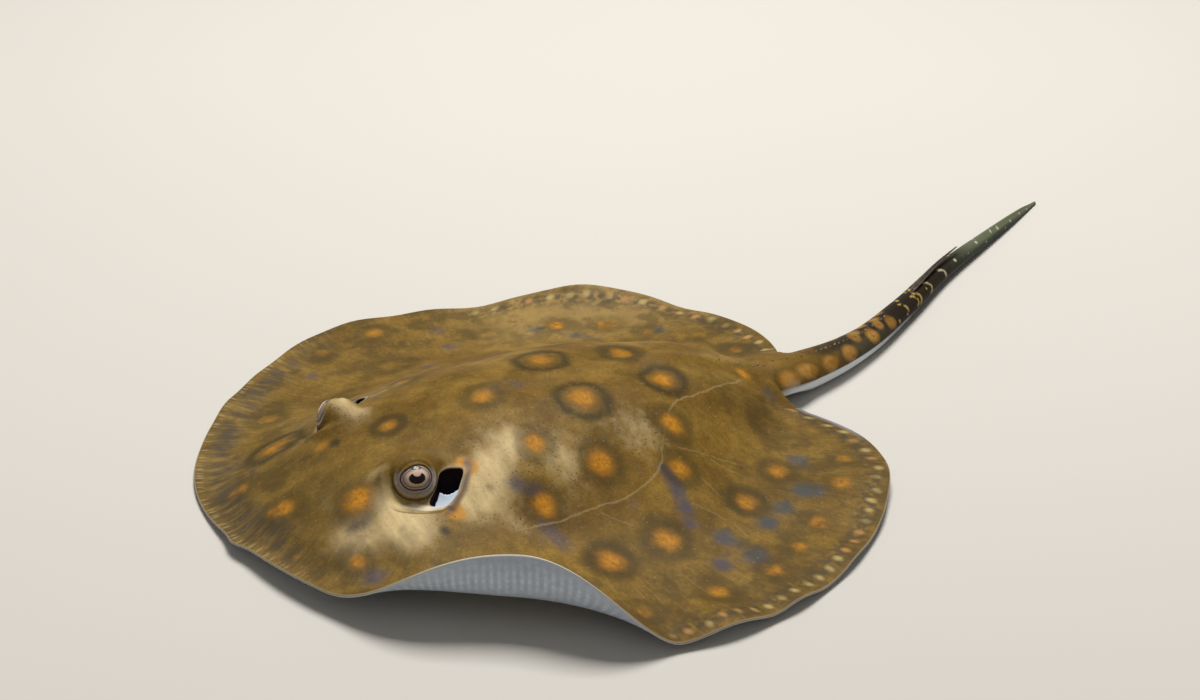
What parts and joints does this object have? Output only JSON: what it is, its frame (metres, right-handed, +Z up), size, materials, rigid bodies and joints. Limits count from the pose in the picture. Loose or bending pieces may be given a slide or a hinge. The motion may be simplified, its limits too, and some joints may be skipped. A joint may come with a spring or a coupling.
{
  "type": "ocellate freshwater stingray, life-size still model",
  "caption": "Round flat stingray resting on its belly, one front fin edge curled up, eyes raised on the head, tail swept to one side.",
  "frame": {"origin": "on the floor under the middle of the body, at the flat of the belly", "axes": "+Z up; +Y along the body from snout to tail; +X to the animal's left"},
  "size_m": [0.2506, 0.3988, 0.0349],
  "materials": {
    "skin": "damp smooth skin, olive brown with orange dark-ringed spots above, pale grey below",
    "eye": "wet clear eye, beige iris, black pupil",
    "sting": "dark brown serrated tail spine"
  },
  "bodies": {
    "root": {"head": "skin", "trunk": "skin", "pectoral_fin_left_front": "skin", "pectoral_fin_left_rear": "skin", "pectoral_fin_right_front": "skin", "pectoral_fin_right_rear": "skin", "pelvic_fin_left": "skin", "pelvic_fin_right": "skin", "tail_base": "skin", "tail_middle": "skin", "tail_tip": "skin", "sting": "sting", "eye_left": "eye", "eye_right": "eye"}
  },
  "joints": []
}
